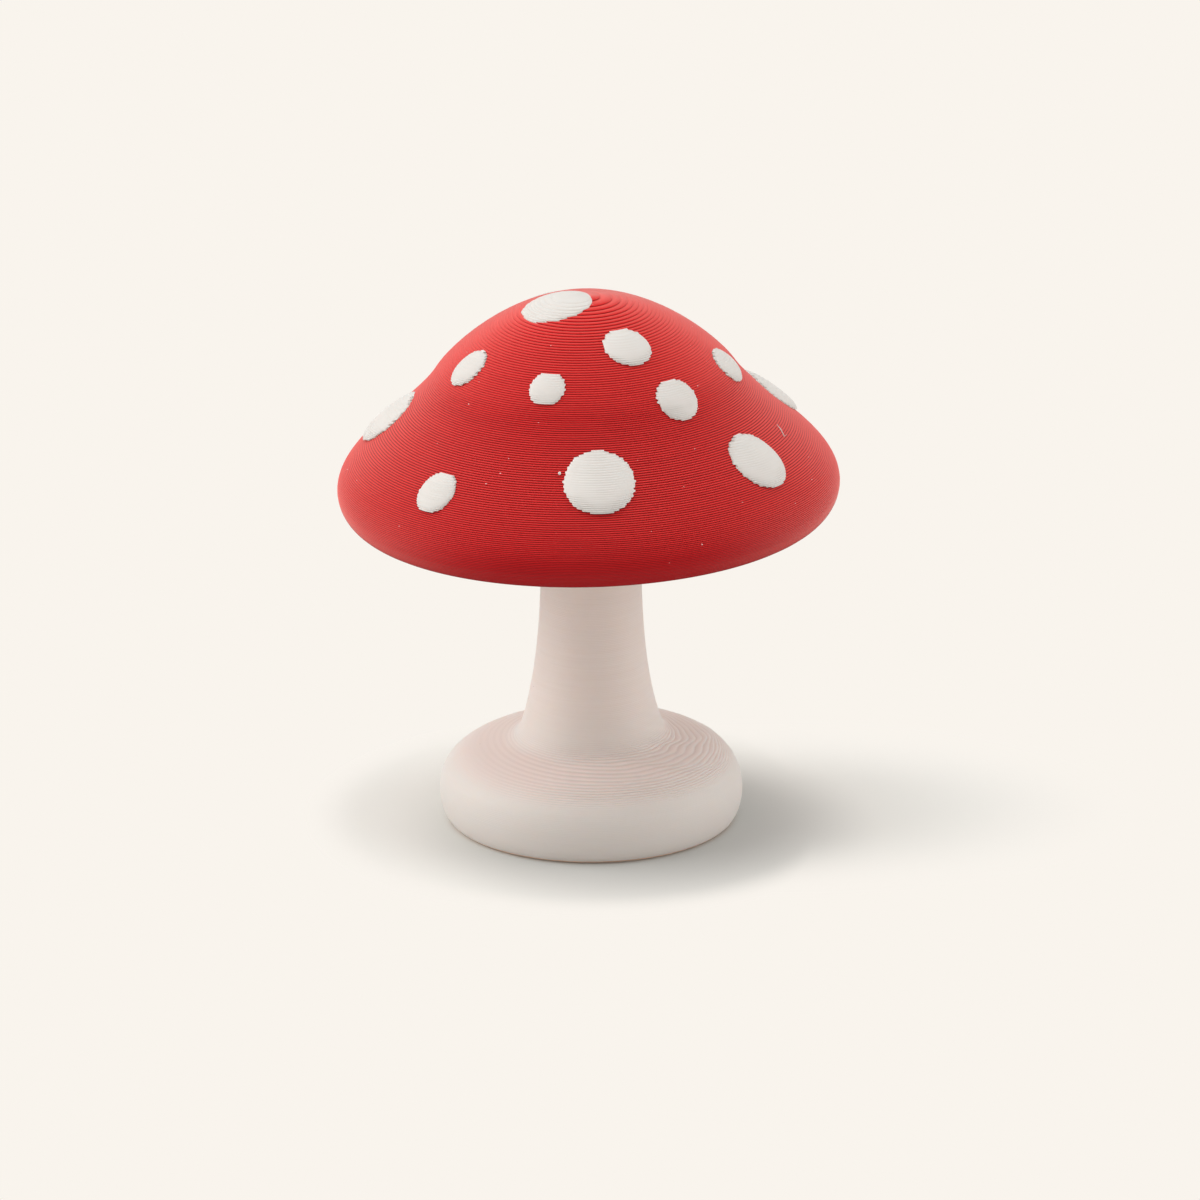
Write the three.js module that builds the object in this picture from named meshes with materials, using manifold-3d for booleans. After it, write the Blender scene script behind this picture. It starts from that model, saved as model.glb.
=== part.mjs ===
// Terrarium mushroom ornament: a 3-D printed toadstool, about 57 mm across and 62 mm tall.
// A pale stem and its disc foot are one print. The red cap is a second print, which drops
// over a short peg on top of the stem and leans a little in its loose fit. The white spots
// are raised inlays in the cap, each seated in its own shallow pocket.
// Millimetres, +Z up, the foot stands on Z = 0 and its centre is the origin. -Y is the front.

import * as THREE from 'three';
import { mergeVertices } from 'three/addons/utils/BufferGeometryUtils.js';
import Module from 'manifold-3d';

// Foot: a thick disc with a rolled lower edge and a soft shoulder
const footRadius = 17.4;
const footContactRadius = 15.9;
const footWidestHeight = 3.4;
const shoulderRadius = 12.8;
const shoulderHeight = 8.75;
const shoulderSlope = 14;
const shoulderRound = 2.9;

// Stem: nearly straight under the cap, flaring down into the foot
const stemTopRadius = 5.85;
const stemHeight = 36.2;
const stemTopRun = 1.45;
const flareRadius = 7.95;
const flareHeight = 11.7;
const flareAngle = 17.5;
const flareRun = 9.4;
const filletRadius = 10.3;
const filletHeight = 9.4;
const filletPull = 1.45;

// Peg on the stem, and the socket that the cap has for it
const pegRadius = 3.5;
const pegLength = 6.6;
const pegChamfer = 0.5;
const socketClearance = 0.6;
const seatGap = 0.35;

// Cap: a rolled brim, a bell that dips inwards at its waist, and a round crown
const capRadius = 28.6;
const capHeight = 25.8;
const brimRollWidth = 3.3;
const brimRollHeight = 3.55;
const brimRise = 4.3;
const waistRadius = 17.25;
const waistHeight = 16.9;
const waistAngle = 57;
const waistPullDown = 5.85;
const waistPullUp = 2.2;
const crownSpread = 8.95;
const capLean = 1.35;
const capShift = -0.2;

// Spots: radius of the largest, how far one stands proud for its radius, how deep it is let in,
// and the gap round it
const spotRadius = 4.1;
const spotCrown = 0.25;
const spotDepth = 1.3;
const spotGap = 0.3;

// Each spot: turn about the cap's axis in degrees (-90 is the front), how far its middle lies
// from that axis as a share of the cap's radius, and its size as a share of the largest.
// The last seven lie on the back.
const spots = [
  { turn: -152, reach: 0.124, size: 1.0 },
  { turn: -153.5, reach: 0.514, size: 0.57 },
  { turn: 176, reach: 0.795, size: 0.92 },
  { turn: -132, reach: 0.88, size: 0.62 },
  { turn: -106.5, reach: 0.517, size: 0.5 },
  { turn: -62.8, reach: 0.367, size: 0.66 },
  { turn: -51.5, reach: 0.583, size: 0.635 },
  { turn: -9, reach: 0.571, size: 0.59 },
  { turn: 19.5, reach: 0.78, size: 0.88 },
  { turn: -86.5, reach: 0.795, size: 0.99 },
  { turn: -35.5, reach: 0.824, size: 0.91 },
  { turn: 62, reach: 0.486, size: 0.59 },
  { turn: 50, reach: 0.873, size: 0.62 },
  { turn: 86, reach: 0.664, size: 0.7 },
  { turn: 106, reach: 0.849, size: 0.94 },
  { turn: 112, reach: 0.378, size: 0.65 },
  { turn: 139, reach: 0.618, size: 0.57 },
  { turn: 146, reach: 0.873, size: 0.67 },
];

// How finely round forms are cut
const capSides = 64;
const stemSides = 48;
const spotSides = 18;
const spotRings = 4;
const slopeStep = 0.5;

const wasm = await Module();
wasm.setup();

const capRed = new THREE.MeshStandardMaterial({ color: 0xb71f27, roughness: 0.72, metalness: 0 });
const stemCream = new THREE.MeshStandardMaterial({ color: 0xded2c8, roughness: 0.8, metalness: 0 });
const spotWhite = new THREE.MeshStandardMaterial({ color: 0xeeebe6, roughness: 0.7, metalness: 0 });

const radians = THREE.MathUtils.degToRad;

// A point on an outline: its distance from the axis and its height.
function point(out, up) {
  return new THREE.Vector2(out, up);
}

// A point moved by a length along a direction given by its angle above the horizontal.
function pulled(start, angle, length) {
  const direction = point(Math.cos(radians(angle)), Math.sin(radians(angle)));
  return start.clone().addScaledVector(direction, length);
}

function curve(start, startPull, endPull, end, steps) {
  return new THREE.CubicBezierCurve(start, startPull, endPull, end).getPoints(steps);
}

// A quarter of an ellipse, from its lowest point to its widest.
function rolledEdge(lowest, widest, steps) {
  const width = widest.x - lowest.x;
  const height = widest.y - lowest.y;
  const points = [];
  for (let i = 0; i <= steps; i += 1) {
    const angle = (i / steps) * Math.PI / 2;
    points.push(point(lowest.x + width * Math.sin(angle), widest.y - height * Math.cos(angle)));
  }
  return points;
}

// Stretches joined end to end, without the points that they share.
function joined(...stretches) {
  const outline = [];
  for (const stretch of stretches) {
    for (const next of stretch) {
      const last = outline[outline.length - 1];
      if (!last || last.distanceTo(next) > 1e-6) outline.push(next);
    }
  }
  return outline;
}

// A closed geometry with shared corners merged and collapsed triangles left out.
function welded(geometry) {
  geometry.deleteAttribute('normal');
  geometry.deleteAttribute('uv');
  const merged = mergeVertices(geometry, 1e-5);
  const index = merged.getIndex().array;
  const kept = [];
  for (let i = 0; i < index.length; i += 3) {
    const [a, b, c] = [index[i], index[i + 1], index[i + 2]];
    if (a !== b && b !== c && c !== a) kept.push(a, b, c);
  }
  merged.setIndex(kept);
  return merged;
}

function toSolid(geometry) {
  const vertProperties = Float32Array.from(geometry.getAttribute('position').array);
  const triVerts = Uint32Array.from(geometry.getIndex().array);
  return new wasm.Manifold(new wasm.Mesh({ numProp: 3, vertProperties, triVerts }));
}

function fromSolid(solid) {
  const mesh = solid.getMesh();
  const geometry = new THREE.BufferGeometry();
  geometry.setAttribute('position', new THREE.BufferAttribute(mesh.vertProperties, 3));
  geometry.setIndex(new THREE.BufferAttribute(mesh.triVerts, 1));
  return geometry;
}

// A revolved solid about Z from an outline that starts and ends on the axis.
function revolved(outline, sides) {
  const geometry = new THREE.LatheGeometry(outline, sides);
  geometry.rotateX(Math.PI / 2);
  return welded(geometry);
}

function stemOutline() {
  const lowest = point(footContactRadius, 0);
  const widest = point(footRadius, footWidestHeight);
  const shoulder = point(shoulderRadius, shoulderHeight);
  const fillet = point(filletRadius, filletHeight);
  const flare = point(flareRadius, flareHeight);
  const neck = point(stemTopRadius, stemHeight);
  const widestPull = pulled(widest, 90, shoulderRound);
  const shoulderPull = pulled(shoulder, -shoulderSlope, shoulderRound);
  const filletPulled = pulled(fillet, 180 - shoulderSlope, filletPull);
  const flareBelow = pulled(flare, flareAngle - 90, filletPull);
  const flareAbove = pulled(flare, flareAngle + 90, flareRun);
  const pegTop = stemHeight + pegLength;
  return joined(
    [point(0, 0), point(footContactRadius / 2, 0)],
    rolledEdge(lowest, widest, 4),
    curve(widest, widestPull, shoulderPull, shoulder, 6),
    curve(fillet, filletPulled, flareBelow, flare, 4),
    curve(flare, flareAbove, pulled(neck, -90, stemTopRun), neck, 7),
    [
      point(pegRadius, stemHeight),
      point(pegRadius, pegTop - pegChamfer),
      point(pegRadius - pegChamfer, pegTop),
      point(0, pegTop),
    ],
  );
}

// The cap's outer skin, from the brim's lowest point up to the crown.
function capSkin() {
  const lowest = point(capRadius - brimRollWidth, 0);
  const widest = point(capRadius, brimRollHeight);
  const waist = point(waistRadius, waistHeight);
  const top = point(0, capHeight);
  const waistBelow = pulled(waist, -waistAngle, waistPullDown);
  const waistAbove = pulled(waist, 180 - waistAngle, waistPullUp);
  return joined(
    rolledEdge(lowest, widest, 4),
    curve(widest, pulled(widest, 90, brimRise), waistBelow, waist, 10),
    curve(waist, waistAbove, pulled(top, 0, crownSpread), top, 12),
  );
}

const skin = capSkin();

function capOutline() {
  const socketRadius = pegRadius + socketClearance;
  const socketDepth = pegLength + socketClearance;
  return joined(
    [
      point(0, socketDepth),
      point(socketRadius, socketDepth),
      point(socketRadius, 0),
      point((socketRadius + capRadius) / 2, 0),
    ],
    skin,
  );
}

// Height of the cap's upper skin at a distance from its axis.
function skinHeight(out) {
  for (let i = skin.length - 1; i > 0; i -= 1) {
    const [inner, outer] = [skin[i], skin[i - 1]];
    if (out <= outer.x) {
      const share = (out - inner.x) / (outer.x - inner.x);
      return inner.y + share * (outer.y - inner.y);
    }
  }
  return 0;
}

// Where a spot sits: its middle on the skin, the outward direction there and two across it.
function spotFrame({ turn, reach }) {
  const angle = radians(turn);
  const out = reach * capRadius;
  const rise = skinHeight(out + slopeStep) - skinHeight(out - slopeStep);
  const around = new THREE.Vector3(-Math.sin(angle), Math.cos(angle), 0);
  const downhill = new THREE.Vector3(Math.cos(angle), Math.sin(angle), rise / (2 * slopeStep)).normalize();
  const outward = downhill.clone().cross(around).normalize();
  const middle = new THREE.Vector3(out * Math.cos(angle), out * Math.sin(angle), skinHeight(out));
  return { middle, around, downhill, outward };
}

// The point of the skin straight over a place beside a spot's middle, found by halving.
function onSkin(frame, across, along) {
  const base = frame.middle.clone();
  base.addScaledVector(frame.around, across).addScaledVector(frame.downhill, along);
  let low = -capHeight / 4;
  let high = capHeight / 4;
  for (let i = 0; i < 40; i += 1) {
    const level = (low + high) / 2;
    const at = base.clone().addScaledVector(frame.outward, level);
    if (at.z > skinHeight(Math.hypot(at.x, at.y))) high = level;
    else low = level;
  }
  return base.addScaledVector(frame.outward, low);
}

// A round plug that follows the cap's skin: a domed outer face and a sunk inner face.
function spotPlug(spot, radius, depth, dome) {
  const frame = spotFrame(spot);
  const corners = [];
  const triangles = [];
  const rings = [];
  const addCorner = (across, along, lift) => {
    const at = onSkin(frame, across, along).addScaledVector(frame.outward, lift);
    corners.push(at.x, at.y, at.z);
    return corners.length / 3 - 1;
  };
  const addRing = (ringRadius, lift) => {
    const ring = [];
    for (let i = 0; i < spotSides; i += 1) {
      const angle = (i / spotSides) * 2 * Math.PI;
      ring.push(addCorner(ringRadius * Math.cos(angle), ringRadius * Math.sin(angle), lift));
    }
    rings.push(ring);
  };
  const top = addCorner(0, 0, dome(0));
  for (let i = 1; i <= spotRings; i += 1) addRing((radius * i) / spotRings, dome(i / spotRings));
  addRing(radius, -depth);
  const bottom = addCorner(0, 0, -depth);
  for (let i = 0; i < spotSides; i += 1) {
    const next = (i + 1) % spotSides;
    triangles.push(top, rings[0][next], rings[0][i]);
    for (let k = 0; k < rings.length - 1; k += 1) {
      const [upper, lower] = [rings[k], rings[k + 1]];
      triangles.push(upper[i], upper[next], lower[next], upper[i], lower[next], lower[i]);
    }
    const last = rings[rings.length - 1];
    triangles.push(bottom, last[i], last[next]);
  }
  const geometry = new THREE.BufferGeometry();
  geometry.setAttribute('position', new THREE.Float32BufferAttribute(corners, 3));
  geometry.setIndex(triangles);
  return geometry;
}

function spotGeometry(spot) {
  const radius = spot.size * spotRadius;
  const rise = radius * spotCrown;
  return spotPlug(spot, radius, spotDepth, (share) => rise * (1 - share * share));
}

// The pocket is the plug grown by its gap, and it runs out through the skin.
function pocketSolid(spot) {
  const clearOfSkin = 2;
  const radius = spot.size * spotRadius + spotGap;
  return toSolid(spotPlug(spot, radius, spotDepth + spotGap, () => clearOfSkin));
}

function capGeometry() {
  let solid = toSolid(revolved(capOutline(), capSides));
  for (const spot of spots) solid = solid.subtract(pocketSolid(spot));
  return fromSolid(solid);
}

function namedMesh(name, geometry, material) {
  const mesh = new THREE.Mesh(geometry, material);
  mesh.name = name;
  return mesh;
}

const ornament = new THREE.Group();
ornament.add(namedMesh('stem', revolved(stemOutline(), stemSides), stemCream));

// The cap and its spots lean together about the middle of the cap's flat underside.
const leaningCap = new THREE.Group();
leaningCap.position.set(capShift, 0, stemHeight + seatGap);
leaningCap.rotation.y = -radians(capLean);
leaningCap.add(namedMesh('cap', capGeometry(), capRed));
spots.forEach((spot, i) => {
  const name = `spot_${String(i + 1).padStart(2, '0')}`;
  leaningCap.add(namedMesh(name, spotGeometry(spot), spotWhite));
});
ornament.add(leaningCap);

export default ornament;
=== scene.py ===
# Looks for a 3-D printed toadstool ornament: every layer of both prints is modelled,
# so the fine lines, the stepped crown and the ragged edges of the spots are real geometry;
# the joints between layers also carry painted shade.

import math

import bpy
import numpy as np
from mathutils import Euler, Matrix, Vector


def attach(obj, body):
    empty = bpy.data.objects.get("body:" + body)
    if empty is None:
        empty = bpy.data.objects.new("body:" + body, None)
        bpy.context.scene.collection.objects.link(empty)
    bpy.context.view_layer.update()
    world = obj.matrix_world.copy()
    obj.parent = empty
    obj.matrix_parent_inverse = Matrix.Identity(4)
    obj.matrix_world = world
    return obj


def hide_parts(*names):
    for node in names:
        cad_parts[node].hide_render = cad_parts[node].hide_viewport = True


mm = 0.001

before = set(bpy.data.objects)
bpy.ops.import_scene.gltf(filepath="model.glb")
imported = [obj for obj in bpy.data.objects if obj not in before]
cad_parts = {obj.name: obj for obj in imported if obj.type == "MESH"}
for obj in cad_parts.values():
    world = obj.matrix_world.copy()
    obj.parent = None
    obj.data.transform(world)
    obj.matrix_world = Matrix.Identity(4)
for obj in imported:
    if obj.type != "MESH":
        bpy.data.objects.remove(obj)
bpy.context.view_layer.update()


# Meshes

def newObject(name, data):
    thing = bpy.data.objects.new(name, data)
    bpy.context.scene.collection.objects.link(thing)
    return thing


def meshPiece(name, points, faces, material, creasedRows):
    mesh = bpy.data.meshes.new(name)
    mesh.from_pydata((points * mm).tolist(), [], faces)
    mesh.update()
    mesh.shade_smooth()
    markCreases(mesh, creasedRows)
    mesh.materials.append(material)
    return newObject(name, mesh)


def markCreases(mesh, creasedRows):
    # a sharp edge wherever both its ends lie on the same creased row, and -1 is on none
    ends = np.empty(len(mesh.edges) * 2, int)
    mesh.edges.foreach_get("vertices", ends)
    rows = creasedRows[ends.reshape(-1, 2)]
    sharp = (rows[:, 0] >= 0) & (rows[:, 0] == rows[:, 1])
    flags = mesh.attributes.new("sharp_edge", "BOOLEAN", "EDGE")
    flags.data.foreach_set("value", sharp)


def loftFaces(rowCount, columnCount):
    # quads between closed rows of points, each row the same length
    row = np.arange(rowCount - 1)[:, None] * columnCount
    here = np.arange(columnCount)[None, :]
    after = (here + 1) % columnCount
    a, b = row + here, row + after
    quads = np.stack([a, b, b + columnCount, a + columnCount], axis=-1)
    return quads.reshape(-1, 4).tolist()


def fanFaces(middle, first, columnCount, upward):
    # triangles that close a row of points on one point in its middle
    faces = []
    for i in range(columnCount):
        here, after = first + i, first + (i + 1) % columnCount
        faces.append((middle, here, after) if upward else (middle, after, here))
    return faces


def closedLoft(rows, creased, bottom, top):
    # rings of points one after the other, closed at both ends on a point in the middle
    count, columns = rows.shape[:2]
    points = np.vstack([rows.reshape(-1, 3), [bottom, top]])
    faces = loftFaces(count, columns)
    faces += fanFaces(len(points) - 2, 0, columns, upward=False)
    faces += fanFaces(len(points) - 1, (count - 1) * columns, columns, upward=True)
    creasedRows = np.repeat(np.where(creased, np.arange(count), -1), columns)
    return points, faces, np.r_[creasedRows, -1, -1]


def turns(columns):
    return np.arange(columns) / columns * 2 * math.pi


def ringRows(radii, levels):
    turn = turns(radii.shape[1])
    return np.stack([radii * np.cos(turn), radii * np.sin(turn),
                     np.broadcast_to(levels[:, None], radii.shape)], axis=-1)


def plainRings(outline, columns):
    outline = np.array(outline)
    return ringRows(np.repeat(outline[:, :1], columns, 1), outline[:, 1])


def undersideRings(inner, outer, shape):
    innerGap, outerGap = shape["undersideGaps"]
    radii = np.linspace(inner + innerGap, outer - outerGap, shape["undersideRings"])
    return [(radius, 0.0) for radius in radii]


def bezier(start, startPull, endPull, end, steps):
    t = np.linspace(0, 1, steps + 1)[:, None]
    start, startPull, endPull, end = (np.array(p, float) for p in (start, startPull, endPull, end))
    return ((1 - t)**3 * start + 3 * t * (1 - t)**2 * startPull
            + 3 * t**2 * (1 - t) * endPull + t**3 * end)


def pulled(point, angle, length):
    turn = math.radians(angle)
    return (point[0] + length * math.cos(turn), point[1] + length * math.sin(turn))


def rolledEdge(lowest, widest, steps):
    t = np.linspace(0, math.pi / 2, steps + 1)
    width, height = widest[0] - lowest[0], widest[1] - lowest[1]
    return np.c_[lowest[0] + width * np.sin(t), widest[1] - height * np.cos(t)]


# Shapes of both prints in millimetres, with the same outlines as the solids'

layerShape = {
    "height": 0.2,        # thickness of one printed layer
    "groove": 0.075,      # how far the joint between two layers lies in
    "wander": 0.004,      # how unevenly layers stand out
    "ownShare": 0.6,      # the part of that which is the same all round a layer
    "waveShare": 0.45,    # and the part of each of these waves round it
    "waves": (1, 2, 3, 5),
}

capShape = {
    "radius": 28.6,
    "height": 25.8,
    "rollWidth": 3.3,
    "rollHeight": 3.55,
    "brimRise": 4.3,
    "waist": (17.25, 16.9),
    "waistAngle": 57,
    "waistPulls": (5.85, 2.2),
    "crownSpread": 8.95,
    "steps": {"roll": 24, "belly": 60, "crown": 90},
    "lean": 1.35,
    "place": (-0.2, 0.0, 36.55),
    "inset": 0.012,       # keeps uneven layers inside the solid
    "tipRadius": 0.2,
    "tipDip": 0.06,       # how far the tip lies under the last layer's top, in layers
    "socketRadius": 4.1,
    "socketDepth": 7.2,
    "socketChamfer": 0.3,
    "roofRings": (0.3, 0.7, 1.0),
    "wallRings": (0.75, 0.5, 0.25, 0.06),
    "undersideGaps": (2.0, 0.3),
    "undersideRings": 7,
    "columns": 180,
    "seed": 11,
}

stemShape = {
    "footRadius": 17.4,
    "contactRadius": 15.9,
    "widestHeight": 3.4,
    "shoulder": (12.8, 8.75),
    "shoulderSlope": 14,
    "shoulderRound": 2.9,
    "fillet": (10.3, 9.4),
    "filletPull": 1.45,
    "flare": (7.95, 11.7),
    "flareAngle": 17.5,
    "flareRun": 9.4,
    "topRadius": 5.85,
    "topRun": 1.45,
    "height": 36.2,
    "steps": {"roll": 24, "side": 40, "rise": 40, "stem": 60},
    "pegRadius": 3.5,
    "pegLength": 6.6,
    "pegChamfer": 0.5,
    "pegRings": (0.3, 0.6, 1.0),
    "pegTopRing": 1.2,
    "neckGap": 0.3,
    "undersideGaps": (2.0, 0.3),
    "undersideRings": 5,
    "columns": 128,
    "seed": 23,
    "inset": 0.008,
    "groove": 0.010,      # the stem's layers melt together more than the cap's
    "wander": 0.0015,
    # how far a layer runs on into the next one without a step, at these heights
    "smooth": ((0.0, 6.5, 7.6, 10.2, 12.0), (1.0, 1.0, 0.3, 0.3, 1.0)),
    "leftward": (0.2, 0.8),   # how far to the left it starts to run on more, and is without steps
    "footTilt": 0.30,         # how much the foot's upper side falls towards its low side
    "footTiltTurn": 192,      # and where that low side is
    # this starts and is full so far under the shoulder, and ends so far over the flare
    "footTiltFade": (3.2, 0.6, 4.0),
    # waves round the foot that add to the fall, with their phase and share
    "footSwell": (2, 0.7, 0.25),
    "footRipple": 0.24,       # ripples at the front right, as a share of that fall
    "footRippleTurn": -24,
    "footRippleFocus": 3,
    # waves round the foot, how much they turn with height, and their share
    "footRipples": ((9, 2.5, 1.0), (16, 6.0, 0.6)),
}


def capOutline():
    s = capShape
    steps = s["steps"]
    waist, top = s["waist"], (0, s["height"])
    widest = (s["radius"], s["rollHeight"])
    low = rolledEdge((s["radius"] - s["rollWidth"], 0), widest, steps["roll"])
    belly = bezier(widest, pulled(widest, 90, s["brimRise"]),
                   pulled(waist, -s["waistAngle"], s["waistPulls"][0]), waist, steps["belly"])
    crown = bezier(waist, pulled(waist, 180 - s["waistAngle"], s["waistPulls"][1]),
                   pulled(top, 0, s["crownSpread"]), top, steps["crown"])
    return np.vstack([low, belly[1:], crown[1:]])


def stemOutline():
    s = stemShape
    steps = s["steps"]
    widest = (s["footRadius"], s["widestHeight"])
    shoulder, fillet, flare = s["shoulder"], s["fillet"], s["flare"]
    neck = (s["topRadius"], s["height"])
    low = rolledEdge((s["contactRadius"], 0), widest, steps["roll"])
    side = bezier(widest, pulled(widest, 90, s["shoulderRound"]),
                  pulled(shoulder, -s["shoulderSlope"], s["shoulderRound"]), shoulder, steps["side"])
    rise = bezier(fillet, pulled(fillet, 180 - s["shoulderSlope"], s["filletPull"]),
                  pulled(flare, s["flareAngle"] - 90, s["filletPull"]), flare, steps["rise"])
    stem = bezier(flare, pulled(flare, s["flareAngle"] + 90, s["flareRun"]),
                  pulled(neck, -90, s["topRun"]), neck, steps["stem"])
    return np.vstack([low, side[1:], rise, stem[1:]])


capLine = capOutline()
stemLine = stemOutline()


def capRadiusAt(height):
    return np.interp(height, capLine[:, 1], capLine[:, 0])


def capHeightAt(out):
    upper = capLine[capShape["steps"]["roll"]:]
    return np.interp(out, upper[::-1, 0], upper[::-1, 1])


# Shader nodes

def newGroup(name, inputs, outputs):
    # takes a place and numbers, and puts out masks
    group = bpy.data.node_groups.new(name, "ShaderNodeTree")
    group.interface.new_socket(name="Vector", in_out="INPUT", socket_type="NodeSocketVector")
    for label in inputs:
        group.interface.new_socket(name=label, in_out="INPUT", socket_type="NodeSocketFloat")
    for label in outputs:
        group.interface.new_socket(name=label, in_out="OUTPUT", socket_type="NodeSocketFloat")
    start = group.nodes.new("NodeGroupInput")
    end = group.nodes.new("NodeGroupOutput")
    return group, start.outputs, end.inputs


def addNode(tree, kind, **settings):
    node = tree.nodes.new(kind)
    for key, value in settings.items():
        setattr(node, key, value)
    return node


def feed(tree, socket, value):
    # with a number, a colour or another node's output
    if isinstance(value, (int, float)):
        socket.default_value = value
    elif isinstance(value, tuple):
        socket.default_value = (*value, 1.0)
    else:
        tree.links.new(value, socket)


def mathNode(tree, operation, *values):
    node = addNode(tree, "ShaderNodeMath", operation=operation)
    for i, value in enumerate(values):
        feed(tree, node.inputs[i], value)
    return node.outputs[0]


def product(tree, first, *others):
    for other in others:
        first = mathNode(tree, "MULTIPLY", first, other)
    return first


def splitVector(tree, vector):
    node = addNode(tree, "ShaderNodeSeparateXYZ")
    tree.links.new(vector, node.inputs[0])
    return node.outputs


def ramped(tree, value, none, full, smooth=False, to=(0.0, 1.0)):
    node = addNode(tree, "ShaderNodeMapRange", clamp=True)
    if smooth:
        node.interpolation_type = "SMOOTHSTEP"
    labels = ("Value", "From Min", "From Max", "To Min", "To Max")
    for label, setting in zip(labels, (value, none, full, *to)):
        feed(tree, node.inputs[label], setting)
    return node.outputs["Result"]


def rampedOver(tree, length, ends, smooth=False):
    # the same, from none to full between two lengths in millimetres
    none, full = ends
    return ramped(tree, length, none * mm, full * mm, smooth)


def noiseNode(tree, vector, scale, detail):
    node = addNode(tree, "ShaderNodeTexNoise")
    for label, value in (("Vector", vector), ("Scale", scale), ("Detail", detail)):
        feed(tree, node.inputs[label], value)
    return node.outputs["Fac"]


def mixColour(tree, factor, first, second):
    node = addNode(tree, "ShaderNodeMix", data_type="RGBA")
    for socket, value in ((0, factor), (6, first), (7, second)):
        feed(tree, node.inputs[socket], value)
    return node.outputs[2]


def mixShaders(tree, factor, first, second):
    node = addNode(tree, "ShaderNodeMixShader")
    for socket, value in enumerate((factor, first.outputs[0], second.outputs[0])):
        tree.links.new(value, node.inputs[socket])
    return node


# Materials

printFinish = {
    "streakScale": 0.9,           # of the noise in streaks and in patches, for one run
    "patchScale": 0.8,
    "streakEnds": (0.25, 0.75),
    "patchEnds": (0.40, 0.75),
    "jointMiddle": 0.15,          # the painted shade of a joint lies mostly on the lower half of the layer above
    "jointEnds": (0.34, 0.14),
    "levelEnds": (0.70, 0.97),    # how far upwards a face has to look to count as level
    "bumpDepth": 0.01,
}


def makeStreakGroup():
    # tone that changes from layer to layer and slowly along each one, painted shade in the joint
    # between two layers, a fine grain and wide patches
    group, given, result = newGroup("layerStreaks", ("Layer", "Run", "Grain"),
                                    ("Streak", "JointShade", "Grain", "Patch"))
    s = printFinish
    links = group.links
    x, y, z = splitVector(group, given["Vector"])
    level = mathNode(group, "DIVIDE", z, given["Layer"])
    join = addNode(group, "ShaderNodeCombineXYZ")
    for axis, along in enumerate((x, y)):
        links.new(mathNode(group, "DIVIDE", along, given["Run"]), join.inputs[axis])
    links.new(level, join.inputs[2])
    links.new(noiseNode(group, join.outputs[0], s["streakScale"], 1.0), result["Streak"])
    away = mathNode(group, "PINGPONG", mathNode(group, "SUBTRACT", level, s["jointMiddle"]), 0.5)
    links.new(ramped(group, away, *s["jointEnds"], smooth=True), result["JointShade"])
    grainScale = mathNode(group, "DIVIDE", 1.0, given["Grain"])
    links.new(noiseNode(group, given["Vector"], grainScale, 2.0), result["Grain"])
    patchScale = mathNode(group, "DIVIDE", s["patchScale"], given["Run"])
    links.new(noiseNode(group, given["Vector"], patchScale, 2.0), result["Patch"])
    return group


def makeSpeckGroup():
    # scattered specks: dust and burrs, each a small dot in its own cell
    group, given, result = newGroup("scatteredSpecks", ("Spacing", "Size", "Share"), ("Mask",))
    links = group.links
    cells = addNode(group, "ShaderNodeTexVoronoi", feature="F1")
    links.new(given["Vector"], cells.inputs["Vector"])
    links.new(mathNode(group, "DIVIDE", 1.0, given["Spacing"]), cells.inputs["Scale"])
    chance = addNode(group, "ShaderNodeSeparateColor")
    links.new(cells.outputs["Color"], chance.inputs[0])
    size = product(group, chance.outputs[0], given["Size"])
    near = mathNode(group, "LESS_THAN", cells.outputs["Distance"], size)
    chosen = mathNode(group, "LESS_THAN", chance.outputs[1], given["Share"])
    links.new(product(group, near, chosen), result["Mask"])
    return group


streakGroup = makeStreakGroup()
speckGroup = makeSpeckGroup()


def useGroup(tree, group, vector, **values):
    node = addNode(tree, "ShaderNodeGroup", node_tree=group)
    tree.links.new(vector, node.inputs["Vector"])
    for key, value in values.items():
        node.inputs[key].default_value = value
    return node.outputs


def streakTones(tree, streaks, look):
    streak = ramped(tree, streaks["Streak"], *printFinish["streakEnds"])
    colour = mixColour(tree, streak, look["deep"], look["pale"])
    patch = ramped(tree, streaks["Patch"], *printFinish["patchEnds"])
    return mixColour(tree, product(tree, patch, look["patch"]["share"]), colour, look["patch"]["tone"])


def brimTone(tree, colour, brim, across, height):
    # painted shade: the lower layers are darker, on the cap less so towards its left side
    share = product(tree, rampedOver(tree, height, brim["heights"], smooth=True), brim["share"])
    if "sides" in brim:
        share = product(tree, share, rampedOver(tree, across, brim["sides"], smooth=True))
    return mixColour(tree, share, colour, brim["tone"])


def paintedTopLight(tree, colour, tread, height):
    # painted light and shade by which way a face looks: the level tops of layers get a tone of
    # their own, and the painted joint shade is kept to upright walls
    normal = addNode(tree, "ShaderNodeNewGeometry").outputs["Normal"]
    level = ramped(tree, splitVector(tree, normal)[2], *printFinish["levelEnds"])
    upright = mathNode(tree, "SUBTRACT", 1.0, level)
    tone = tread["tone"]
    if "lowTone" in tread:
        # lower down the tops get another painted tone, and the painted joint shade reaches on to them
        low = rampedOver(tree, height, tread["lowHeights"])
        tone = mixColour(tree, low, tone, tread["lowTone"])
        upright = mathNode(tree, "MAXIMUM", upright, low)
    return mixColour(tree, product(tree, level, tread["share"]), colour, tone), upright


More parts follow.
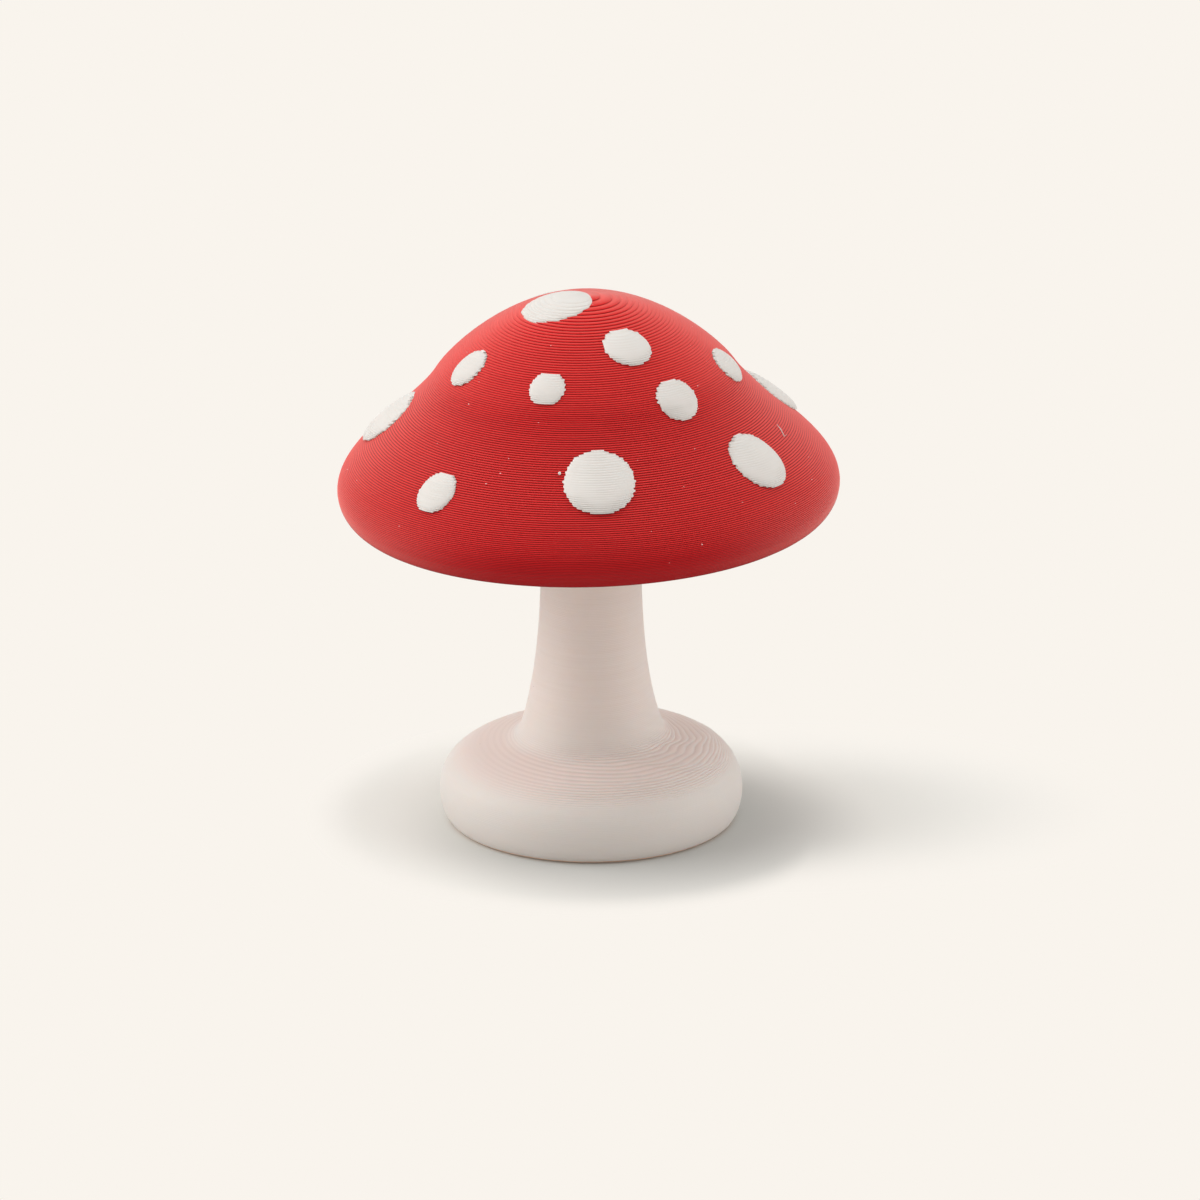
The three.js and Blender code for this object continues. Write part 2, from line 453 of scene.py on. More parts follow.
def paintedSheenTone(tree, colour, edge, across, height):
    # a painted sheen: the colour is paler where the plastic is seen at a flat angle
    facing = addNode(tree, "ShaderNodeLayerWeight").outputs["Facing"]
    flat = product(tree, ramped(tree, facing, *edge["angles"]), edge["share"])
    # and more so low down at both sides
    rim = edge["rim"]
    aside = mathNode(tree, "ABSOLUTE", across)
    wide = product(tree, ramped(tree, facing, *rim["angles"]), rim["share"],
                   rampedOver(tree, height, rim["heights"]),
                   rampedOver(tree, aside, rim["sides"], smooth=True))
    return mixColour(tree, mathNode(tree, "MAXIMUM", flat, wide), colour, edge["tone"])


def paintedJointShade(tree, colour, share, joint, across, height):
    # painted shade in the joints; a print with broad steps at some heights gets it there only,
    # and on the stem it fades out towards the left, where the light comes from
    for ends in joint.get("heights", ()):
        share = product(tree, share, rampedOver(tree, height, ends))
    if "sides" in joint:
        share = product(tree, share, rampedOver(tree, across, joint["sides"], smooth=True))
    return mixColour(tree, product(tree, share, joint["share"]), colour, joint["tone"])


def speckTone(tree, colour, speck, place):
    specks = useGroup(tree, speckGroup, place, Spacing=speck["spacing"] * mm,
                      Size=speck["size"], Share=speck["share"])
    return mixColour(tree, specks["Mask"], colour, speck["tone"])


def baseTone(tree, colour, base, height):
    # a thin deeper line where the print stands on its lowest layers
    low, high = (reach * mm for reach in base["between"])
    line = mathNode(tree, "COMPARE", height, (low + high) / 2, (high - low) / 2)
    return mixColour(tree, line, colour, base["tone"])


def printedPlastic(name, look):
    material = bpy.data.materials.new(name)
    material.use_nodes = True
    tree = material.node_tree
    place = addNode(tree, "ShaderNodeTexCoord").outputs["Object"]
    across, _, height = splitVector(tree, place)
    streaks = useGroup(tree, streakGroup, place, Layer=layerShape["height"] * mm,
                       Run=look["run"] * mm, Grain=look["grain"] * mm)
    colour = streakTones(tree, streaks, look)
    if "brim" in look:
        colour = brimTone(tree, colour, look["brim"], across, height)
    colour, upright = paintedTopLight(tree, colour, look["tread"], height)
    if "edge" in look:
        colour = paintedSheenTone(tree, colour, look["edge"], across, height)
    # painted shade in the joints, kept to upright walls and to the lower layers
    joints = product(tree, streaks["JointShade"], upright)
    colour = paintedJointShade(tree, colour, joints, look["joint"], across, height)
    colour = speckTone(tree, colour, look["speck"], place)
    if "base" in look:
        colour = baseTone(tree, colour, look["base"], height)
    if "bounce" in look:
        # light that this print throws on its neighbours is less coloured than the print itself
        bounced = addNode(tree, "ShaderNodeLightPath").outputs["Is Diffuse Ray"]
        colour = mixColour(tree, bounced, colour, look["bounce"])
    rough = ramped(tree, streaks["Grain"], 0.0, 1.0, to=look["rough"])
    bump = addNode(tree, "ShaderNodeBump")
    bump.inputs["Strength"].default_value = look["bump"]
    bump.inputs["Distance"].default_value = printFinish["bumpDepth"] * mm
    tree.links.new(streaks["Grain"], bump.inputs["Height"])
    shader = tree.nodes["Principled BSDF"]
    tree.links.new(colour, shader.inputs["Base Color"])
    tree.links.new(rough, shader.inputs["Roughness"])
    tree.links.new(bump.outputs["Normal"], shader.inputs["Normal"])
    for socket, value in look["sockets"].items():
        shader.inputs[socket].default_value = value
    return material


# Tones of the three plastics, with painted light and shade among them. A pair of heights, sides
# or angles goes from where a tone doesn't show to where it shows in full

capLook = {
    "deep": (0.63, 0.006, 0.010),
    "pale": (0.77, 0.012, 0.015),
    "patch": {"tone": (0.71, 0.018, 0.019), "share": 0.25},
    # painted shade: the lowest layers darker, less so on the left side
    "brim": {
        "tone": (0.40, 0.004, 0.008),
        "share": 0.55,
        "heights": (7.0, 0.5),
        "sides": (-30.0, -8.0),
    },
    # painted light: level tops of layers paler, and paler still lower down
    "tread": {
        "tone": (0.84, 0.068, 0.057),
        "share": 0.9,
        "lowTone": (0.95, 0.098, 0.082),
        "lowHeights": (19.0, 16.0),
    },
    # painted sheen: paler where seen at a flat angle, most low down at both sides
    "edge": {
        "tone": (0.97, 0.19, 0.165),
        "share": 0.48,
        "angles": (0.30, 0.90),
        "rim": {"share": 0.95, "angles": (0.10, 0.90), "heights": (8.0, 3.0), "sides": (8.0, 24.0)},
    },
    # painted shade in the joints between layers
    "joint": {"tone": (0.27, 0.002, 0.004), "share": 0.95},
    "speck": {"tone": (0.95, 0.55, 0.52), "spacing": 1.6, "size": 0.07, "share": 0.7},
    "bounce": (0.80, 0.63, 0.58),
    "run": 7.0,
    "grain": 0.15,
    "rough": (0.42, 0.52),
    "bump": 0.05,
    "sockets": {
        "Specular IOR Level": 0.14,
        "Sheen Weight": 0.25,
        "Sheen Roughness": 0.3,
        "Sheen Tint": (1.0, 0.76, 0.70, 1.0),
    },
}

stemLook = {
    "deep": (0.88, 0.765, 0.70),
    "pale": (0.90, 0.79, 0.73),
    "patch": {"tone": (0.89, 0.785, 0.735), "share": 0.25},
    # painted shade: darker and greyer towards the foot
    "brim": {"tone": (0.805, 0.745, 0.693), "share": 1.0, "heights": (17.0, 7.5)},
    # painted light: level tops of layers a little pinker
    "tread": {
        "tone": (0.89, 0.755, 0.70),
        "share": 0.9,
        "lowTone": (0.89, 0.755, 0.70),
        "lowHeights": (13.0, 12.0),
    },
    # painted shade in the joints, on the foot's upper side only and less on the left
    "joint": {
        "tone": (0.74, 0.61, 0.56),
        "share": 0.55,
        "heights": ((6.6, 7.8), (11.6, 9.6)),
        "sides": (-16.0, -3.0),
    },
    "speck": {"tone": (0.35, 0.27, 0.22), "spacing": 2.0, "size": 0.04, "share": 0.15},
    "base": {"tone": (0.93, 0.66, 0.50), "between": (0.02, 0.3)},
    "run": 9.0,
    "grain": 0.15,
    "rough": (0.50, 0.60),
    "bump": 0.04,
    "sockets": {
        "Specular IOR Level": 0.4,
        "Subsurface Weight": 0.5,
        "Subsurface Radius": (1.0, 0.75, 0.6),
        "Subsurface Scale": 1.2 * mm,
    },
}

spotLook = {
    "deep": (0.745, 0.705, 0.655),
    "pale": (0.77, 0.73, 0.685),
    "patch": {"tone": (0.75, 0.68, 0.64), "share": 0.30},
    # painted shade: level tops of layers a little darker
    "tread": {"tone": (0.74, 0.715, 0.675), "share": 0.8},
    # faint painted shade in the joints
    "joint": {"tone": (0.80, 0.73, 0.70), "share": 0.10},
    "speck": {"tone": (0.80, 0.45, 0.42), "spacing": 2.2, "size": 0.03, "share": 0.06},
    "run": 3.0,
    "grain": 0.15,
    "rough": (0.48, 0.58),
    "bump": 0.03,
    "sockets": {
        "Specular IOR Level": 0.45,
        "Subsurface Weight": 0.4,
        "Subsurface Radius": (1.0, 0.85, 0.8),
        "Subsurface Scale": 0.5 * mm,
    },
}

capPlastic = printedPlastic("redPrint", capLook)
stemPlastic = printedPlastic("creamPrint", stemLook)
spotPlastic = printedPlastic("whitePrint", spotLook)
print("materials made")


# One layer is a round bead with four rows of points: how high each row is as a share of the
# layer, and how far it lies in as a share of the groove

beadRise = (0.0, 0.2, 0.5, 0.8)
beadDepth = (1.0, 0.2, 0.0, 0.2)
beadRows = len(beadRise)


def layerRows(count):
    h = layerShape["height"]
    levels = np.arange(count)[:, None] * h + np.array(beadRise)[None, :] * h
    middles = np.repeat((np.arange(count) + 0.5) * h, beadRows)
    depth = np.tile(np.array(beadDepth), count)
    isJoint = np.arange(count * beadRows) % beadRows == 0
    return levels.ravel(), middles, depth, isJoint


def unevenness(count, columns, seed, wander):
    # each layer stands out a little differently, and changes slowly round its ring
    own = np.random.default_rng(seed)
    rows = own.normal(0, layerShape["ownShare"], (count, 1))
    for waves in layerShape["waves"]:
        phase = own.uniform(0, 2 * math.pi, (count, 1))
        strength = own.normal(0, layerShape["waveShare"], (count, 1))
        rows = rows + strength * np.sin(waves * turns(columns)[None, :] + phase)
    return np.repeat(rows * wander, beadRows, axis=0)


def seatOnCap(piece):
    piece.rotation_euler = Euler((0, -math.radians(capShape["lean"]), 0))
    piece.location = Vector(capShape["place"]) * mm


def makeCap():
    s = capShape
    columns = s["columns"]
    count = round(s["height"] / layerShape["height"])
    levels, middles, depth, isJoint = layerRows(count)
    radii = capRadiusAt(middles)[:, None] - depth[:, None] * layerShape["groove"]
    radii = radii + unevenness(count, columns, s["seed"], layerShape["wander"]) - s["inset"]
    skin = ringRows(np.maximum(radii, s["tipRadius"]), levels)
    # the flat underside and the socket, from the socket's roof out to the first layer
    socket = [(s["socketRadius"] * share, s["socketDepth"]) for share in s["roofRings"]]
    socket += [(s["socketRadius"], s["socketDepth"] * share) for share in s["wallRings"]]
    socket += [(s["socketRadius"] + s["socketChamfer"], 0.0)]
    socket += undersideRings(s["socketRadius"], s["radius"] - s["rollWidth"], s)
    inner = plainRings(socket, columns)
    creased = np.r_[np.zeros(len(inner), bool), isJoint]
    tip = (count - s["tipDip"]) * layerShape["height"]
    points, faces, creasedRows = closedLoft(np.concatenate([inner, skin]), creased,
                                            (0, 0, s["socketDepth"]), (0, 0, tip))
    piece = meshPiece("capPrint", points, faces, capPlastic, creasedRows)
    seatOnCap(piece)
    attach(piece, "cap")
    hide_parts("cap")
    print("cap:", count, "layers,", len(faces), "faces")


def stemRadii(middles, columns):
    # the foot's upper side isn't quite level, so its contours bunch up on one side of the stem
    s = stemShape
    turn = turns(columns)[None, :]
    waves, phase, share = s["footSwell"]
    fall = np.cos(turn - math.radians(s["footTiltTurn"])) + share * np.sin(waves * turn + phase)
    fade = s["footRippleFocus"] * (np.cos(turn - math.radians(s["footRippleTurn"])) - 1)
    for waves, rise, share in s["footRipples"]:
        fall = fall + s["footRipple"] * np.exp(fade) * share * np.sin(waves * turn + rise * middles)
    start, full, end = s["footTiltFade"]
    heights = [s["shoulder"][1] - start, s["shoulder"][1] - full, s["flare"][1], s["flare"][1] + end]
    shifted = middles + s["footTilt"] * np.interp(middles, heights, [0, 1, 1, 0]) * fall
    return np.interp(shifted, stemLine[:, 1], stemLine[:, 0])


def stemSkin(count):
    s = stemShape
    columns = s["columns"]
    levels, middles, depth, isJoint = layerRows(count)
    # on the left the layers run on without a step all the way
    leftward = np.interp(-np.cos(turns(columns)), s["leftward"], (0, 1))[None, :]
    runOn = np.interp(middles, *s["smooth"])[:, None]
    runOn = (runOn + (1 - runOn) * leftward) * (np.tile(np.array(beadRise), count) - 0.5)[:, None]
    radii = stemRadii(middles[:, None] + runOn * layerShape["height"], columns)
    radii = radii - depth[:, None] * s["groove"] - s["inset"]
    radii = radii + unevenness(count, columns, s["seed"], s["wander"])
    return ringRows(radii, levels), isJoint


def makeStem():
    s = stemShape
    count = round(s["height"] / layerShape["height"])
    skin, isJoint = stemSkin(count)
    underside = plainRings(undersideRings(0, s["contactRadius"], s), s["columns"])
    pegTop = s["height"] + s["pegLength"]
    straight = s["pegLength"] - s["pegChamfer"]
    peg = [(s["topRadius"] - s["neckGap"], s["height"]), (s["pegRadius"], s["height"])]
    peg += [(s["pegRadius"], s["height"] + share * straight) for share in s["pegRings"]]
    peg += [(s["pegRadius"] - s["pegChamfer"], pegTop), (s["pegTopRing"], pegTop)]
    pegRows = plainRings(peg, s["columns"])
    creased = np.r_[np.zeros(len(underside), bool), isJoint, np.zeros(len(pegRows), bool)]
    points, faces, creasedRows = closedLoft(np.concatenate([underside, skin, pegRows]), creased,
                                            (0, 0, 0), (0, 0, pegTop))
    piece = meshPiece("stemPrint", points, faces, stemPlastic, creasedRows)
    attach(piece, "stem")
    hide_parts("stem")
    print("stem:", count, "layers,", len(faces), "faces")


# Spots: turn about the cap's axis (-90 is the front), reach from that axis as a share of the
# cap's radius, and size as a share of the largest spot

spotShape = {
    "radius": 4.1,        # the largest spot
    "crown": 0.22,        # how far a spot stands proud for its radius
    "fullness": 0.62,     # of its dome: 1 is a plain bowl's curve, and less is fuller
    "step": 0.06,         # height of its edge over the red
    "sunk": 1.0,          # how far its back lies in the cap
    "backRadius": 0.3,    # and how near that may come to the cap's axis
    "ragged": 0.11,       # how unevenly its layers end
    "groove": 0.008,      # joints between its layers
    "jointTrim": 0.05,    # how much shorter a layer is at its joints
    "wander": 0.002,
    "lumps": 0.05,        # slow swells and dimples over its dome
    "lumpReach": (1.3, 0.8),         # they fade towards its rim
    "lumpWaves": (1.1, 1.3, 0.5),    # radians a millimetre: round the cap, up it and aslant
    "shortest": 0.002,    # a layer with less chord than this isn't printed
    "endShare": 0.5,      # the highest and the lowest layers are shorter, towards this share
    "endGrowth": 1.5,     # and how fast they reach their full length
    "smooth": 0.8,        # how far the dome runs on from layer to layer without a step
    "tall": 1.02,         # height up the cap, as a share of the round spot's
    "wide": 0.97,         # and width round the cap
    "columns": 30,
    "seed": 100,
}

# the spot on the crown, which is built up another way
crownShape = {
    "summit": 0.8,        # where its summit is between the cap's axis and the spot's middle
    "smooth": 0.35,
    "layersUnder": 3,     # layers under the lowest place of its rim
    "raggedPoints": 24,
    "raggedShare": 0.5,
    "grooveShare": 2,
    "tipRadius": 0.15,
    "tipRise": 0.01,
    "columns": 96,
    "searchSteps": 24,
}

# a droplet and a string of white plastic left on the red beside two of the spots: the path over
# the cap as turn and height, and the thickness
droplet = {"path": [(-98.2, 11.97), (-97.8, 11.97), (-97.4, 11.97)], "radius": 0.21}
fineString = {"path": [(-14.1, 11.78), (-14.9, 11.31), (-16.9, 10.77), (-15.0, 10.74)], "radius": 0.045}

stringShape = {
    "sides": 8,
    "lift": 0.6,          # how far its middle lies over the red, in radii
    "endTaper": 0.55,
    "outwardRise": 12.0,  # how much a direction straight out of the red rises there
}

spotPlaces = [
    {"turn": -155.5, "reach": 0.121, "size": 1.0, "crown": 0.10},
    {"turn": -153.5, "reach": 0.508, "size": 0.57, "tall": 1.10, "wide": 0.95},
    {"turn": 176, "reach": 0.781, "size": 0.92, "tall": 1.05, "smooth": 1.0},
    {"turn": -132, "reach": 0.876, "size": 0.61, "tall": 1.08, "wide": 0.95},
    {"turn": -106.5, "reach": 0.517, "size": 0.5, "tall": 1.07, "wide": 1.0},
    {"turn": -62.8, "reach": 0.363, "size": 0.66, "tall": 1.07, "wide": 0.98},
    {"turn": -52, "reach": 0.583, "size": 0.635, "tall": 1.01, "wide": 0.98},
    {"turn": -9, "reach": 0.566, "size": 0.59, "tall": 0.97, "wide": 1.0},
    {"turn": 19.5, "reach": 0.771, "size": 0.88},
    {"turn": -86.5, "reach": 0.795, "size": 0.99, "wide": 0.975, "string": droplet},
    {"turn": -36.2, "reach": 0.824, "size": 0.91, "wide": 0.95, "string": fineString},
    {"turn": 62, "reach": 0.486, "size": 0.59},
    {"turn": 50, "reach": 0.873, "size": 0.62},
    {"turn": 86, "reach": 0.664, "size": 0.7},
    {"turn": 106, "reach": 0.849, "size": 0.94},
    {"turn": 112, "reach": 0.378, "size": 0.65},
    {"turn": 139, "reach": 0.618, "size": 0.57},
    {"turn": 146, "reach": 0.873, "size": 0.67},
]


def unit(vector):
    return vector / np.linalg.norm(vector)


def addString(points, faces, path, radius):
    # a thin tube along the path, closed at both ends
    s = stringShape
    sides = s["sides"]
    turn = turns(sides)[:, None]
    route = np.array([(capRadiusAt(z) * math.cos(math.radians(angle)),
                       capRadiusAt(z) * math.sin(math.radians(angle)), z) for angle, z in path])
    rings = []
    for i, middle in enumerate(route):
        ahead = unit(route[min(i + 1, len(route) - 1)] - route[max(i - 1, 0)])
        across = unit(np.cross(ahead, (middle[0], middle[1], s["outwardRise"])))
        lift = np.cross(across, ahead)
        thickness = radius * (s["endTaper"] if i in (0, len(route) - 1) else 1.0)
        ring = thickness * (np.cos(turn) * across + np.sin(turn) * lift)
        rings.append(middle + lift * radius * s["lift"] + ring)
    first = len(points)
    last = first + (len(rings) - 1) * sides
    faces += (np.array(loftFaces(len(rings), sides)) + first).tolist()
    faces.append([first + i for i in range(sides)][::-1])
    faces.append([last + i for i in range(sides)])
    return np.vstack([points, *rings])


def domeAt(share, radius, crown):
    # how far a spot stands over the red, at this share of its radius from its middle
    return spotShape["step"] + radius * crown * np.clip(1 - share**2, 0, 1)**spotShape["fullness"]


def lumpsAt(swell, share, across, up, rise):
    s = spotShape
    reach, most = s["lumpReach"]
    acrossWaves, upWaves, slantWaves = s["lumpWaves"]
    return s["lumps"] * np.clip(reach - share, 0, most) * (
        np.sin(swell[0] + across * acrossWaves + rise)
        + np.sin(swell[1] + up * upWaves + across * slantWaves))


def spotLayers(place, seed):
    # one closed loop a row: out along the domed skin and back inside the cap
    s = spotShape
    own = np.random.default_rng(seed)
    h = layerShape["height"]
    middleOut = place["reach"] * capShape["radius"]
    radius = place["size"] * s["radius"]
    middleHeight = float(capHeightAt(middleOut))
    turn = math.radians(place["turn"])
    tall, wide, smooth = (place.get(key, s[key]) for key in ("tall", "wide", "smooth"))
    swell = own.uniform(0, 2 * math.pi, 2)
    rows = []
    for k in range(round(capShape["height"] / h)):
        middle = (k + 0.5) * h
        up = middle - middleHeight
        out = float(capRadiusAt(middle))
        climb = ((out - middleOut)**2 + up**2) / tall**2
        chord = (radius**2 - climb) * wide**2
        if chord < s["shortest"] * out * middleOut:
            continue
        half = math.acos(max(1 - chord / (2 * out * middleOut), -1))
        half *= min(s["endShare"] + s["endGrowth"] * chord / radius**2, 1)
        ends = own.uniform(-1, 1, 2) + ((k % 2) - 0.5)
        ends = ends * s["ragged"] / out
        slope = float(capRadiusAt(middle + h / 2) - capRadiusAt(middle - h / 2)) / h
        sideways = math.sqrt(1 + slope**2)     # a rise square to the skin, measured level
        stand = own.normal(0, s["wander"])
        for rise, depth in zip(beadRise, beadDepth):
            trim = s["jointTrim"] * depth / out
            low, high = turn - half + ends[0] + trim, turn + half + ends[1] - trim
            around = np.linspace(low, high, s["columns"])
            along = 2 * out * middleOut * (1 - np.cos(around - turn)) / wide**2
            share = np.sqrt(along + climb) / radius
            lift = domeAt(np.clip(share, 0, 1), radius, s["crown"]) * sideways
            lift = lift + lumpsAt(swell, share, (around - turn) * out, up, rise)
            skin = float(capRadiusAt(middle + (rise - 0.5) * h * smooth))
            outer = skin + lift + stand - depth * s["groove"]
            inner = np.full(len(outer), max(out - s["sunk"] * sideways, s["backRadius"]))
            loop = np.r_[np.c_[outer * np.cos(around), outer * np.sin(around)],
                         np.c_[inner * np.cos(around), inner * np.sin(around)][::-1]]
            rows.append(np.c_[loop, np.full(len(loop), (k + rise) * h)])
    return np.array(rows)


def makeSpot(place, seed):
    rows = spotLayers(place, seed)
    count, loopCount = rows.shape[:2]
    columns = loopCount // 2
    # the dome meets the spot's ragged sides at a sharp edge
    rims = np.full((count, loopCount), -1)
    rims[:, 0], rims[:, columns - 1] = 0, 1
    faces = loftFaces(count, loopCount)
    last = (count - 1) * loopCount
    for a in range(columns - 1):
        b = a + 1
        c, d = loopCount - 1 - b, loopCount - 1 - a
        faces.append((b, a, d, c))
        faces.append((last + a, last + b, last + c, last + d))
    points, rims = rows.reshape(-1, 3), rims.ravel()
    if "string" in place:
        points = addString(points, faces, **place["string"])
        rims = np.r_[rims, np.full(len(points) - len(rims), -1)]
    return points, faces, rims


def furthest(isInside, limit):
    # how far out along each ray it is still inside, between the middle and the limit
    near, far = np.zeros(len(limit)), limit
    for _ in range(crownShape["searchSteps"]):
        tried = (near + far) / 2
        inside = isInside(tried)
        near, far = np.where(inside, tried, near), np.where(inside, far, tried)
    return near


def makeCrownSpot(place, seed):
    # this one lies over the cap's axis, so its layers are whole plates that shrink upwards
    s = spotShape
    c = crownShape
    own = np.random.default_rng(seed)
    h = layerShape["height"]
    middleOut = place["reach"] * capShape["radius"]
    radius = place["size"] * s["radius"]
    turn = math.radians(place["turn"])
    middle = np.array([middleOut * math.cos(turn), middleOut * math.sin(turn)])
    around = turns(c["columns"])
    rays = np.c_[np.cos(around), np.sin(around)]
    # the dome adds to the crown, so its summit lies between the spot's middle and the axis
    summit = middle * c["summit"]

    def placesAt(reach):
        return summit + rays * reach[:, None]

    def awayFrom(places):
        # distance from the spot's middle over the curved crown, as a share of its radius
        fall = capHeightAt(np.hypot(*places.T)) - capHeightAt(middleOut)
        return np.sqrt(np.sum((places - middle)**2, axis=1) + fall**2) / radius

    def surfaceAt(places):
        away = np.clip(awayFrom(places), 0, 1)
        return capHeightAt(np.hypot(*places.T)) + domeAt(away, radius, place["crown"])

    # from the summit to the spot's own rim along each ray
    rim = furthest(lambda tried: awayFrom(placesAt(tried)) < 1, np.full(len(rays), radius * 2))
    lowest = int(float(surfaceAt(placesAt(rim)).min()) / h) - c["layersUnder"]
    highest = int(float(surfaceAt(summit[None, :])[0]) / h)
    raggedTurns = np.linspace(0, 2 * math.pi, c["raggedPoints"] + 1)
    rows, joints = [], []
    for k in range(lowest, highest):
        ragged = own.normal(0, 1, c["raggedPoints"])
        ragged = np.interp(around, raggedTurns, np.r_[ragged, ragged[0]])
        limit = rim + ragged * s["ragged"] * c["raggedShare"] + ((k % 2) - 0.5) * s["ragged"]
        for rise, depth in zip(beadRise, beadDepth):
            level = (k + 0.5 + (rise - 0.5) * c["smooth"]) * h
            reach = furthest(lambda tried: surfaceAt(placesAt(tried)) > level, limit)
            reach = np.maximum(reach - depth * s["groove"] * c["grooveShare"], c["tipRadius"])
            rows.append(np.c_[placesAt(reach), np.full(len(rays), (k + rise) * h)])
            joints.append(rise == beadRise[0])
    rows = np.array(rows)
    bottom, top = (*summit, rows[0, 0, 2]), (*summit, rows[-1, 0, 2] + c["tipRise"])
    return closedLoft(rows, joints, bottom, top)


makeCap()
makeStem()
for number, place in enumerate(spotPlaces, 1):
    make = makeCrownSpot if number == 1 else makeSpot
    points, faces, creasedRows = make(place, spotShape["seed"] + number)
    piece = meshPiece(f"spotPrint{number:02d}", points, faces, spotPlastic, creasedRows)
    seatOnCap(piece)
    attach(piece, "cap")
    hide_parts(f"spot_{number:02d}")
print("spots made")


# Studio

studio = {
    "background": (0.947, 0.905, 0.847),
    "ambient": 0.435,
    "lamps": [
        {"name": "keyLeft", "from": (-0.85, 0.0, 0.53), "strength": 1.45, "angle": 50},
        {"name": "fillRight", "from": (0.927, 0.0, 0.375), "strength": 0.8, "angle": 50},
        {"name": "topSoft", "from": (0.0, 0.0, 1.0), "strength": 1.0, "angle": 60},
    ],
    "floorSize": 6.0,       # metres from its middle to its edge
    "floorBounce": (0.65, 0.64, 0.62),
    "floorGap": 0.01,       # between the foot and the paper
    "gapRay": 0.05,         # a ray shorter than this crosses the gap
    # the paper's colour where its shade shows, a little less red, so that the red light the cap throws
    # on it shows less
    "shadedPaper": (0.915, 0.905, 0.855),
    # painted shadow on the paper round the foot, and the two rings where the paper's real shade ends
    "paintedShadowTone": (0.64, 0.675, 0.69),
    "paintedShadowRing": {"middle": (5.0, -5.0), "reach": (30.0, 30.0), "start": 0.42},
    "roundEdge": {"middle": (0.0, 0.0), "reach": (33.0, 33.0), "start": 0.79},
    "castEdge": {"middle": (22.0, 2.0), "reach": (40.0, 28.0), "start": 0.34},
}

camera = {
    "target": (1.017, 0.0, 25.97),
    "distance": 994.5,
    "elevation": 19.3,
    "lens": 261.1,
    "sensor": 36.0,
    "clip": (0.01, 50.0),   # metres
}


def seenRays(tree):
    # 1 for rays that come straight from the camera, or by way of a gloss or glass
    path = addNode(tree, "ShaderNodeLightPath")
    seen = mathNode(tree, "MAXIMUM", path.outputs["Is Camera Ray"], path.outputs["Is Glossy Ray"])
    return mathNode(tree, "MAXIMUM", seen, path.outputs["Is Transmission Ray"])


def ringRamp(tree, place, ring):
    # 0 inside an ellipse on the paper, rising to 1 at its rim
    squares = []
    for i in (0, 1):
        offset = mathNode(tree, "SUBTRACT", place[i], ring["middle"][i] * mm)
        share = mathNode(tree, "DIVIDE", offset, ring["reach"][i] * mm)
        squares.append(product(tree, share, share))
    away = mathNode(tree, "SQRT", mathNode(tree, "ADD", *squares))
    return ramped(tree, away, ring["start"], 1.0, smooth=True)


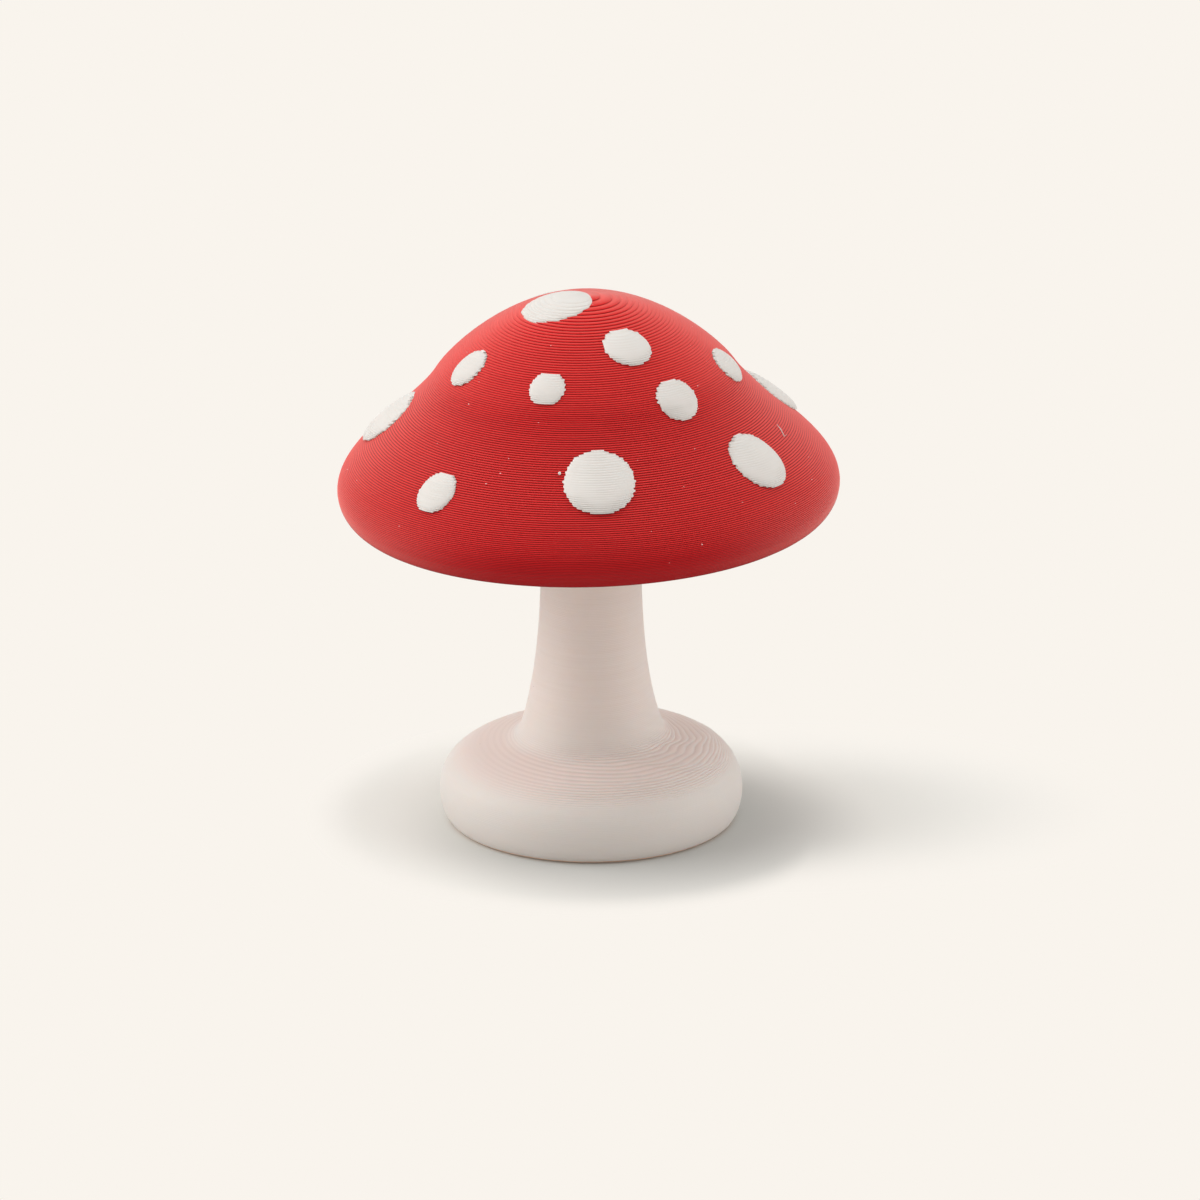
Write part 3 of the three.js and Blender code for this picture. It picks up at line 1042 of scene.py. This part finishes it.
def paperMaterial():
    # the paper shows its real shade and a painted shadow near the ornament, and fades to the plain
    # background round it
    material = bpy.data.materials.new("paper")
    material.use_nodes = True
    tree = material.node_tree
    shader = tree.nodes["Principled BSDF"]
    seen = seenRays(tree)
    place = splitVector(tree, addNode(tree, "ShaderNodeTexCoord").outputs["Object"])
    shade = tuple(share * paper for share, paper in zip(studio["paintedShadowTone"], studio["background"]))
    colour = mixColour(tree, ringRamp(tree, place, studio["paintedShadowRing"]), shade, studio["shadedPaper"])
    colour = mixColour(tree, seen, studio["floorBounce"], colour)
    tree.links.new(colour, shader.inputs["Base Color"])
    shader.inputs["Roughness"].default_value = 1.0
    shader.inputs["Specular IOR Level"].default_value = 0.0
    plain = addNode(tree, "ShaderNodeEmission")
    feed(tree, plain.inputs["Color"], studio["background"])
    ended = mathNode(tree, "MINIMUM", ringRamp(tree, place, studio["roundEdge"]),
                     ringRamp(tree, place, studio["castEdge"]))
    paper = mixShaders(tree, product(tree, ended, seen), shader, plain)
    # from below there is no paper, so the underside can be looked at, and light from there
    # crosses the thin gap between them
    back = addNode(tree, "ShaderNodeNewGeometry").outputs["Backfacing"]
    length = addNode(tree, "ShaderNodeLightPath").outputs["Ray Length"]
    short = mathNode(tree, "LESS_THAN", length, studio["gapRay"] * mm)
    clear = addNode(tree, "ShaderNodeBsdfTransparent")
    oneSided = mixShaders(tree, mathNode(tree, "MAXIMUM", back, short), paper, clear)
    tree.links.new(oneSided.outputs[0], tree.nodes["Material Output"].inputs["Surface"])
    return material


def makeFloor():
    size = studio["floorSize"]
    corners = [(-size, -size, 0), (size, -size, 0), (size, size, 0), (-size, size, 0)]
    mesh = bpy.data.meshes.new("floor")
    mesh.from_pydata(corners, [], [(0, 1, 2, 3)])
    mesh.materials.append(paperMaterial())
    floor = newObject("floor", mesh)
    floor.location.z = -studio["floorGap"] * mm


def makeWorld():
    world = bpy.data.worlds.new("studio")
    bpy.context.scene.world = world
    world.use_nodes = True
    tree = world.node_tree
    tree.nodes.clear()
    backdrop = addNode(tree, "ShaderNodeBackground")
    feed(tree, backdrop.inputs["Color"], studio["background"])
    ambient = addNode(tree, "ShaderNodeBackground")
    feed(tree, ambient.inputs["Color"], (1.0, 1.0, 1.0))
    feed(tree, ambient.inputs["Strength"], studio["ambient"])
    mix = mixShaders(tree, seenRays(tree), ambient, backdrop)
    out = addNode(tree, "ShaderNodeOutputWorld")
    tree.links.new(mix.outputs[0], out.inputs["Surface"])


def makeLamps():
    for lamp in studio["lamps"]:
        data = bpy.data.lights.new(lamp["name"], "SUN")
        data.energy = lamp["strength"]
        data.angle = math.radians(lamp["angle"])
        light = newObject(lamp["name"], data)
        light.rotation_euler = Vector(lamp["from"]).to_track_quat("Z", "Y").to_euler()


def makeCamera():
    data = bpy.data.cameras.new("camera")
    data.lens = camera["lens"]
    data.sensor_width = camera["sensor"]
    data.clip_start, data.clip_end = camera["clip"]
    rise = math.radians(camera["elevation"])
    back = Vector((0, -math.cos(rise), math.sin(rise)))
    view = newObject("camera", data)
    view.location = (Vector(camera["target"]) + back * camera["distance"]) * mm
    view.rotation_euler = back.to_track_quat("Z", "Y").to_euler()
    bpy.context.scene.camera = view


makeFloor()
makeWorld()
makeLamps()
makeCamera()
bpy.context.scene.view_settings.view_transform = "Standard"
print("studio made")
